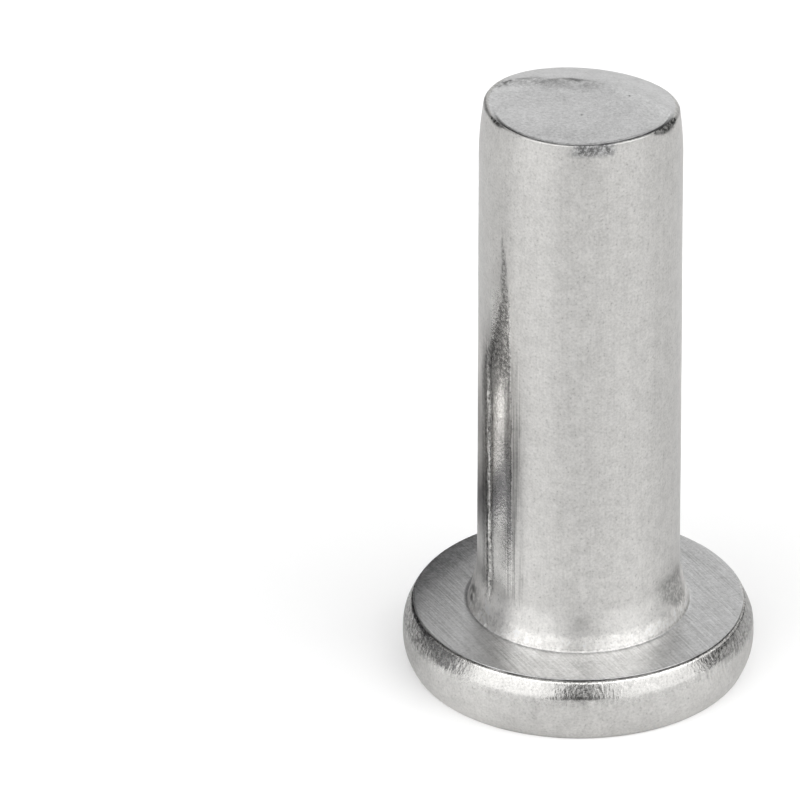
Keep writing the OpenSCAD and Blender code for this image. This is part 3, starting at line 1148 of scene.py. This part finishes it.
# %% White of the floor
FLOOR_WHITE = 0.78
CAMERA_LIFT, GLOSSY_LIFT = 0.25, 0.04
BAND_EDGE = 8
FLOOR_BANDS = (
    # name, turn, half width, lift
    ("left strip", -54, 24, 0.17),
    ("right strip", 51, 19, 0.07),
    ("far side", 180, 92, -0.06),
)


def floor_material():
    mat = bpy.data.materials.new("white_floor")
    mat.use_nodes = True
    wiring = Wiring(mat.node_tree)
    bsdf = mat.node_tree.nodes["Principled BSDF"]
    bsdf.inputs["Base Color"].default_value = (FLOOR_WHITE, FLOOR_WHITE, FLOOR_WHITE, 1)
    bsdf.inputs["Roughness"].default_value = 1.0
    bsdf.inputs["Specular IOR Level"].default_value = 0.0
    bsdf.inputs["Emission Color"].default_value = (1, 1, 1, 1)
    geometry = wiring.add("NewGeometry")
    place = wiring.add("SeparateXYZ", {0: geometry.outputs["Position"]})
    turn = turn_of(wiring, place.outputs["X"], place.outputs["Y"])
    bands = GLOSSY_LIFT
    for _, middle, half, lift in FLOOR_BANDS:
        bands = wiring.plus(bands, wiring.times(within(wiring, turn, middle, half, BAND_EDGE), lift))
    path = wiring.add("LightPath")
    seen = wiring.times(path.outputs["Is Camera Ray"], CAMERA_LIFT)
    mirrored = wiring.times(path.outputs["Is Glossy Ray"], bands)
    wiring.join(wiring.plus(seen, mirrored), bsdf.inputs["Emission Strength"])
    clear = wiring.add("BsdfTransparent")
    sides = {0: geometry.outputs["Backfacing"], 1: bsdf.outputs[0], 2: clear.outputs[0]}
    one_sided = wiring.add("MixShader", sides)
    wiring.join(one_sided.outputs[0], mat.node_tree.nodes["Material Output"].inputs["Surface"])
    print("white floor:", len(mat.node_tree.nodes), "nodes")
    return mat


floor_white = floor_material()

# %% [markdown]
# The floor itself is a wide flat ring of narrow faces. A plane would be simpler, but it
# would cover the flat face from below, so the ring has a hole there. From above the head
# hides the hole. The ring also lies a hair lower than the head, because two surfaces at
# one height show through each other in streaks.

# %% Ring of the floor
FLOOR_MM, FLOOR_HOLE_MM, FLOOR_DROP_MM, FLOOR_SIDES = 800, 4.03, 0.005, 96


def make_floor():
    turns = np.arange(FLOOR_SIDES) / FLOOR_SIDES * 2 * math.pi
    points = []
    for r in (FLOOR_HOLE_MM, FLOOR_MM):
        for a in turns:
            points.append((r * math.cos(a) * MM, r * math.sin(a) * MM, -FLOOR_DROP_MM * MM))
    faces = []
    for k in range(FLOOR_SIDES):
        n = (k + 1) % FLOOR_SIDES
        faces.append((k, FLOOR_SIDES + k, FLOOR_SIDES + n, n))
    stage_object("floor", points, faces, floor_white)


make_floor()

# %% [markdown]
# The studio is painted onto the world: soft boxes of even brightness, each given by the
# middle of its turn from the camera, its half width, and the heights where it begins and
# ends, all in degrees. Lamps would do as well, but a painted box has an edge as soft as is
# wanted and never shows itself. Between the boxes it is dark, and so is the place where the
# camera stands, which the metal mirrors as the quiet middle of the shank. The under box is
# there for a look at the flat face from below. The camera itself sees plain white, so the
# background stays clean in every view.

# %% Studio light
SOFT_BOXES = (
    # name, turn, half width, from, to, brightness
    ("left box, low part", -48, 29, -10, 9, 1.60),
    ("left box", -43, 34, 9, 41, 1.60),
    ("right box, low part", 52, 33, -10, 9, 1.45),
    ("right box", 49, 35, 9, 41, 1.37),
    ("left wing", -66, 29, 26, 41, 0.40),
    ("right wing", 72, 32, 26, 41, 1.00),
    ("right side", 128, 26, 16, 41, 1.0),
    ("left side", -128, 24, 16, 41, 0.45),
    ("top bank", 3, 100, 41, 58, 3.10),
    ("ceiling", 0, 190, 58, 95, 0.60),
    ("back wall", 176, 26, -10, 41, 1.09),
    ("under box", 0, 190, -95, -14, 0.90),
)
SOFT_EDGE = 4


def make_studio():
    world = bpy.data.worlds.new("studio")
    bpy.context.scene.world = world
    world.use_nodes = True
    wiring = Wiring(world.node_tree)
    way = wiring.add("TexCoord").outputs["Generated"]
    x, y, z = wiring.add("SeparateXYZ", {0: way}).outputs
    turn = turn_of(wiring, x, y)
    rise = wiring.times(wiring.sum_of("ARCSINE", z), 180 / math.pi)
    total = 0.0
    for _, middle, half, low, high, level in SOFT_BOXES:
        across = within(wiring, turn, middle, half, SOFT_EDGE)
        from_below = wiring.ramp(rise, low - SOFT_EDGE / 2, low + SOFT_EDGE / 2)
        from_above = wiring.ramp(rise, high + SOFT_EDGE / 2, high - SOFT_EDGE / 2)
        total = wiring.plus(total, wiring.times(across, from_below, from_above, float(level)))
    path = wiring.add("LightPath")
    back = world.node_tree.nodes["Background"]
    back.inputs["Color"].default_value = (1, 1, 1, 1)
    wiring.join(wiring.blend(path.outputs["Is Camera Ray"], total, 1.0), back.inputs["Strength"])
    print(len(SOFT_BOXES), "soft boxes")


make_studio()
bpy.context.scene.view_settings.view_transform = "Standard"

# %% [markdown]
# Bright metal looks best with something just outside the picture to mirror. Here it is a turned bar
# with a collar, lying to the left and behind. It darkens the left side of the shank, the seat and the
# rim, and so shows their shape. The seat mirrors its lower side and the shank its upper side, so the
# bar has a colour for each and a mask that leads from one to the other: the upper side is painted
# light, as if lit, and the lower side painted dark, as if in shade.

# %% Two sides of the mirrored bar
BRIGHT_SIDE, DARK_SIDE = (0.80, 0.79, 0.78, 1), (0.24, 0.24, 0.25, 1)
BAR_ROUGHNESS = 0.1


def bar_material():
    mat = bpy.data.materials.new("mirrored_bar")
    mat.use_nodes = True
    bsdf = mat.node_tree.nodes["Principled BSDF"]
    wiring = Wiring(mat.node_tree)
    # The upper side is painted light, as if lit, and the lower side painted dark, as if in shade.
    two_sides = wiring.blend(wiring.mask("facing_up"), DARK_SIDE, BRIGHT_SIDE, "RGBA")
    wiring.join(two_sides, bsdf.inputs["Base Color"])
    bsdf.inputs["Metallic"].default_value = 1.0
    bsdf.inputs["Roughness"].default_value = BAR_ROUGHNESS
    print("mirrored bar: from", DARK_SIDE[0], "to", BRIGHT_SIDE[0])
    return mat


bar_metal = bar_material()

# %% [markdown]
# The bar's shape is a short list of radii along its length, turned round its axis as on a
# lathe. A Screw modifier would do the same, but a loop can also give each point its mask.
# The camera, soft light and shadows leave the bar out, so only mirror images show it.

# %% Mirrored bar
TURNS_PAINTED_LIT = (-6, 14)
BAR_SIDES = 96
BAR_START, BAR_WAY = Vector((-9.8, -1.84, 4.2)), Vector((0.53, 0.83, -0.11)).normalized()
BAR_OUTLINE = (
    # radius, distance along the bar
    (0.01, 0.0),
    (3.9, 0.0),
    (4.2, 0.4),
    (4.25, 0.8),
    (4.0, 1.6),
    (2.6, 1.62),
    (2.5, 2.0),
    (2.5, 15.3),
    (2.2, 15.7),
    (0.01, 15.7),
)


def make_mirrored_bar():
    across = Vector((BAR_WAY.y, -BAR_WAY.x, 0)).normalized()
    other = across.cross(BAR_WAY)
    points, faces = [], []
    for r, along in BAR_OUTLINE:
        for k in range(BAR_SIDES):
            a = 2 * math.pi * k / BAR_SIDES
            p = BAR_START + BAR_WAY * along + (across * math.cos(a) + other * math.sin(a)) * r
            points.append(tuple(p * MM))
    for j in range(len(BAR_OUTLINE) - 1):
        lower, upper = j * BAR_SIDES, (j + 1) * BAR_SIDES
        for k in range(BAR_SIDES):
            n = (k + 1) % BAR_SIDES
            faces.append((lower + k, lower + n, upper + n, upper + k))
    bar = stage_object("mirrored_bar", points, faces, bar_metal)
    rise = (np.arange(len(points)) % BAR_SIDES) * 360 / BAR_SIDES
    rise = np.where(rise > 180, rise - 360, rise)
    facing = bar.data.attributes.new("facing_up", "FLOAT", "POINT")
    facing.data.foreach_set("value", fade(rise, *TURNS_PAINTED_LIT).astype(np.float32))
    bar.visible_camera = False
    bar.visible_diffuse = False
    bar.visible_shadow = False


make_mirrored_bar()
